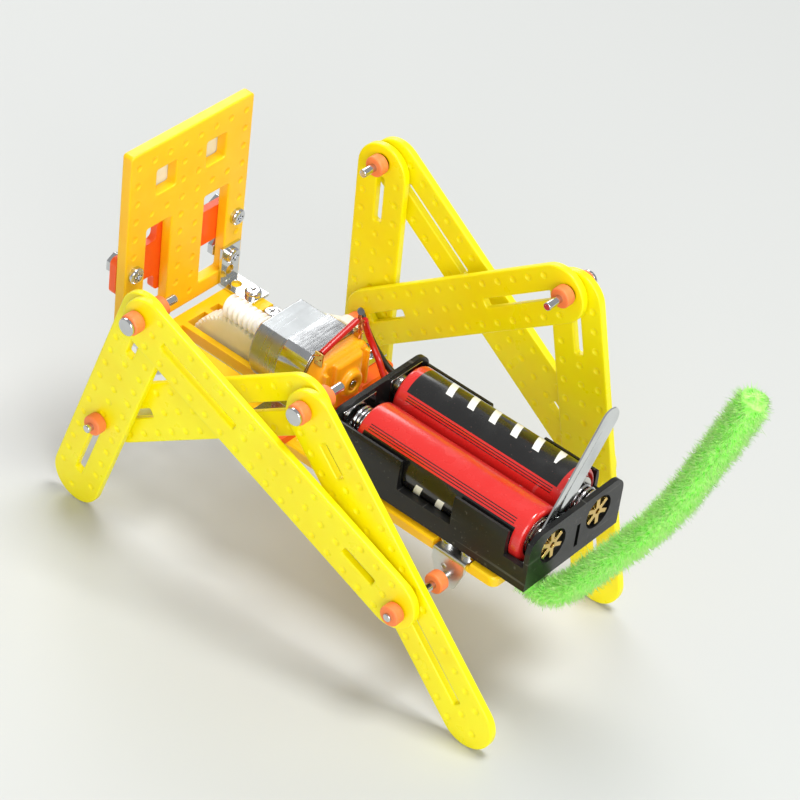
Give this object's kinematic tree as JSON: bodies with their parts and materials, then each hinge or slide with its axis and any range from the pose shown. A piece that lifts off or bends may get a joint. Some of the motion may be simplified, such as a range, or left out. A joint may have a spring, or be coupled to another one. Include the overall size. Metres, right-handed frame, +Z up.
{
  "type": "walking robot kit",
  "caption": "Motor-driven walking robot built from slotted plastic strips, with worm-driven crank legs, an open battery holder, a square head plate and a fuzzy tail.",
  "frame": {"origin": "middle of the footprint's bounding box, at the height of the lowest foot", "axes": "+X forward from tail to head, +Y to the robot's left, +Z up with the base plate level"},
  "size_m": [0.1662, 0.0844, 0.114],
  "materials": {
    "lemon": "glossy yellow injection-moulded plastic",
    "amber": "glossy yellow-orange moulded plastic",
    "vermilion": "glossy red-orange moulded plastic",
    "milky": "milky white translucent plastic",
    "nylon": "white nylon",
    "soft_orange": "soft orange rubbery plastic",
    "bright_steel": "plated steel, smooth",
    "plated_strip": "polished plated strip",
    "can_steel": "drawn nickel-plated steel",
    "brass": "plain brass",
    "black_plastic": "semi-gloss black plastic",
    "cell_can": "nickel-plated steel",
    "cell_sleeve": "shrunk printed sleeve in red and black bands",
    "red_insulation": "soft red insulation",
    "black_insulation": "soft black insulation",
    "green_pile": "fuzzy lime-green pile",
    "foam": "white foam tape"
  },
  "bodies": {
    "chassis": {"base_plate": "amber", "head_plate": "amber", "eye_panel": "milky", "head_cross": "vermilion", "motor_cross": "vermilion", "corner_brackets": "plated_strip", "crank_brackets": "plated_strip", "rear_brackets": "plated_strip", "motor_can": "can_steel", "motor_cap": "amber", "motor_terminals": "brass", "motor_strap": "plated_strip", "screws": "bright_steel", "nuts": "bright_steel", "rear_axle": "bright_steel", "rear_axle_bushes": "soft_orange", "foam_tape": "foam", "battery_holder": "black_plastic", "contact_plates": "plated_strip", "contact_rivets": "brass", "contact_springs": "bright_steel", "tail": "green_pile", "tail_core": "bright_steel", "lead_red": "red_insulation", "lead_black": "black_insulation", "lead_jumper": "red_insulation"},
    "worm_shaft": {"motor_shaft": "bright_steel", "worm": "nylon"},
    "crank": {"crank_axle": "bright_steel", "worm_wheel": "milky", "axle_bushes": "soft_orange", "crank_bushes": "soft_orange", "crank_arm_left": "milky", "crank_arm_right": "milky", "crank_pin_left": "bright_steel", "crank_pin_right": "bright_steel"},
    "front_leg_set_left": {"front_leg_left": "lemon"},
    "drive_link_set_left": {"drive_link_left": "lemon"},
    "long_link_set_left": {"long_link_left": "lemon", "front_nail_left": "bright_steel", "front_bushes_left": "soft_orange"},
    "rear_leg_set_left": {"rear_leg_left": "lemon", "rear_nail_left": "bright_steel", "rear_knee_bushes_left": "soft_orange"},
    "front_leg_set_right": {"front_leg_right": "lemon"},
    "drive_link_set_right": {"drive_link_right": "lemon"},
    "long_link_set_right": {"long_link_right": "lemon", "front_nail_right": "bright_steel", "front_bushes_right": "soft_orange"},
    "rear_leg_set_right": {"rear_leg_right": "lemon", "rear_nail_right": "bright_steel", "rear_knee_bushes_right": "soft_orange"},
    "cell_left": {"cell_can_left": "cell_can", "cell_sleeve_left": "cell_sleeve"},
    "cell_right": {"cell_can_right": "cell_can", "cell_sleeve_right": "cell_sleeve"},
    "switch": {"switch_tab": "plated_strip"}
  },
  "joints": [
    {"name": "crank_turn", "type": "hinge", "parent": "chassis", "child": "crank", "pos_m": [0.05652, 0, 0.03555], "axis": [0, -1, 0], "range_deg": [-20, 20]},
    {"name": "worm_spin", "type": "hinge", "parent": "chassis", "child": "worm_shaft", "pos_m": [0.05402, 0, 0.0515], "axis": [1, 0, 0], "range_deg": [-1090, 1090]},
    {"name": "front_leg_swing_left", "type": "hinge", "parent": "crank", "child": "front_leg_set_left", "pos_m": [0.06802, 0, 0.03066], "axis": [0, -1, 0], "range_deg": [-15.9, 15.9]},
    {"name": "drive_link_swing_left", "type": "hinge", "parent": "crank", "child": "drive_link_set_left", "pos_m": [0.06802, 0, 0.03066], "axis": [0, -1, 0], "range_deg": [-16.9, 16.9]},
    {"name": "long_link_swing_left", "type": "hinge", "parent": "chassis", "child": "long_link_set_left", "pos_m": [-0.02348, 0, 0.03555], "axis": [0, -1, 0], "range_deg": [-2.6, 2.6]},
    {"name": "rear_leg_swing_left", "type": "hinge", "parent": "chassis", "child": "rear_leg_set_left", "pos_m": [-0.02348, 0, 0.03555], "axis": [0, -1, 0], "range_deg": [-1.4, 1.4]},
    {"name": "front_leg_swing_right", "type": "hinge", "parent": "crank", "child": "front_leg_set_right", "pos_m": [0.04501, 0, 0.04043], "axis": [0, -1, 0], "range_deg": [-26.2, 26.2]},
    {"name": "drive_link_swing_right", "type": "hinge", "parent": "crank", "child": "drive_link_set_right", "pos_m": [0.04501, 0, 0.04043], "axis": [0, -1, 0], "range_deg": [-23.9, 23.9]},
    {"name": "long_link_swing_right", "type": "hinge", "parent": "chassis", "child": "long_link_set_right", "pos_m": [-0.02348, 0, 0.03555], "axis": [0, -1, 0], "range_deg": [-3.6, 3.6]},
    {"name": "rear_leg_swing_right", "type": "hinge", "parent": "chassis", "child": "rear_leg_set_right", "pos_m": [-0.02348, 0, 0.03555], "axis": [0, -1, 0], "range_deg": [-1.4, 1.4]},
    {"name": "cell_lift_left", "type": "slide", "parent": "chassis", "child": "cell_left", "axis": [0, 0, 1], "range_m": [0, 0.03]},
    {"name": "cell_lift_right", "type": "slide", "parent": "chassis", "child": "cell_right", "axis": [0, 0, 1], "range_m": [0, 0.03]},
    {"name": "switch_pull", "type": "slide", "parent": "chassis", "child": "switch", "axis": [0, -0.5948, 0.8039], "range_m": [0, 0.03]}
  ],
  "couplings": [
    {"joint": "worm_spin", "follows": "crank_turn", "ratio": 54},
    {"joint": "front_leg_swing_left", "follows": "crank_turn", "ratio": -0.7816},
    {"joint": "drive_link_swing_left", "follows": "crank_turn", "ratio": -0.8288},
    {"joint": "long_link_swing_left", "follows": "crank_turn", "ratio": 0.114},
    {"joint": "rear_leg_swing_left", "follows": "crank_turn", "ratio": 0.0557},
    {"joint": "front_leg_swing_right", "follows": "crank_turn", "ratio": -1.2946},
    {"joint": "drive_link_swing_right", "follows": "crank_turn", "ratio": -1.1779},
    {"joint": "long_link_swing_right", "follows": "crank_turn", "ratio": -0.164},
    {"joint": "rear_leg_swing_right", "follows": "crank_turn", "ratio": -0.0559}
  ]
}
